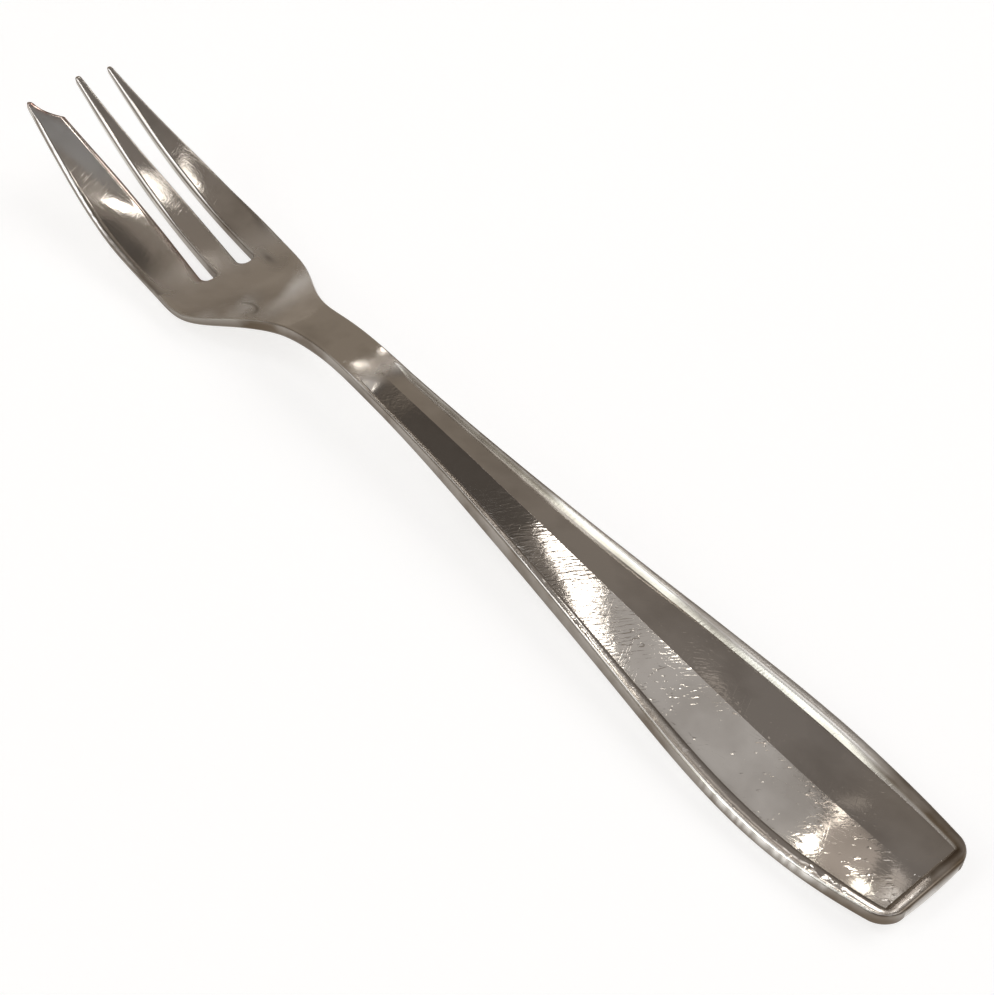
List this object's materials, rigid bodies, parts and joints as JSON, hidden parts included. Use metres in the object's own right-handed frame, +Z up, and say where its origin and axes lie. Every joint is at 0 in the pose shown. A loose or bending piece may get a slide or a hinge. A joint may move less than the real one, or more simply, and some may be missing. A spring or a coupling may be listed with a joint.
{
  "type": "serving fork",
  "caption": "Short serving fork with a broad bevelled cutting tine, slim pointed tines, a dished palm, a narrow neck and a faceted handle with a raised border.",
  "frame": {"origin": "on the table plane, below the middle of the fork's length and on the handle's middle line", "axes": "+X from the handle end to the tips, +Y to the fork's left where the broad tine is, +Z up from the back to the face"},
  "size_m": [0.1564, 0.0193, 0.0131],
  "materials": {
    "silver_plate": "polished silver plate, worn and lightly tarnished"
  },
  "bodies": {
    "root": {"handle": "silver_plate", "neck": "silver_plate", "palm": "silver_plate", "broad_tine": "silver_plate", "middle_tine": "silver_plate", "outer_tine": "silver_plate"}
  },
  "joints": []
}
